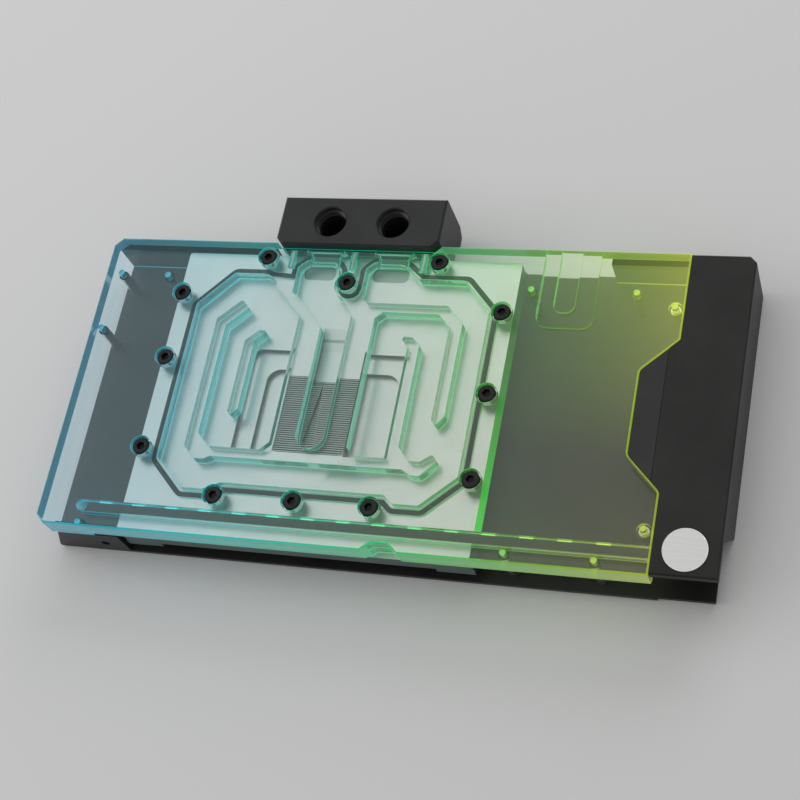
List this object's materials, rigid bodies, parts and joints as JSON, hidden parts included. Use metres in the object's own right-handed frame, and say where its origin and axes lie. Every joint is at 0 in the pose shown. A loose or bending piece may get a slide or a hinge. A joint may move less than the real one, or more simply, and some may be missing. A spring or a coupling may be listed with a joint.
{
  "type": "gpu water block",
  "caption": "Graphics card water block: clear top with milled flow channels and blind holes over a finned nickel cold plate, black port terminal, end cover and backplate.",
  "frame": {"origin": "centre of the footprint on the backplate's back face", "axes": "+Z out of the clear top's face, +X along the card towards the end cover, +Y towards the terminal"},
  "size_m": [0.264, 0.1472, 0.0295],
  "materials": {
    "clear_acrylic": "polished",
    "nickel": "satin nickel plating on copper",
    "black_screw": "black oxide",
    "black_acetal": "matte",
    "black_rubber": "matte",
    "black_aluminium": "black anodised, bead blasted",
    "bright_aluminium": "brushed",
    "nickel_brass": "nickel plated",
    "dark_plastic": "matte",
    "circuit_board": "solder mask",
    "led_lens": "clear",
    "thermal_pad": "matte"
  },
  "bodies": {
    "root": {"acrylic_top": "clear_acrylic", "main_gasket": "black_rubber", "cold_plate": "nickel", "clamp_screws": "black_screw", "terminal_block": "black_acetal", "terminal_gaskets": "black_rubber", "terminal_screws": "black_screw", "rear_port_plugs": "black_screw", "plug_o_rings": "black_rubber", "end_cover": "black_aluminium", "end_cover_screws": "black_screw", "accent_strip": "dark_plastic", "badge": "bright_aluminium", "led_bar": "dark_plastic", "led_board": "circuit_board", "leds": "led_lens", "backplate": "black_aluminium", "edge_flanges": "black_aluminium", "bracket_flange": "black_aluminium", "standoffs": "nickel_brass", "backplate_screws": "black_screw", "core_standoffs": "nickel_brass", "core_screws": "black_screw", "memory_pads": "thermal_pad", "power_pads": "thermal_pad", "back_pads": "thermal_pad"}
  },
  "joints": []
}
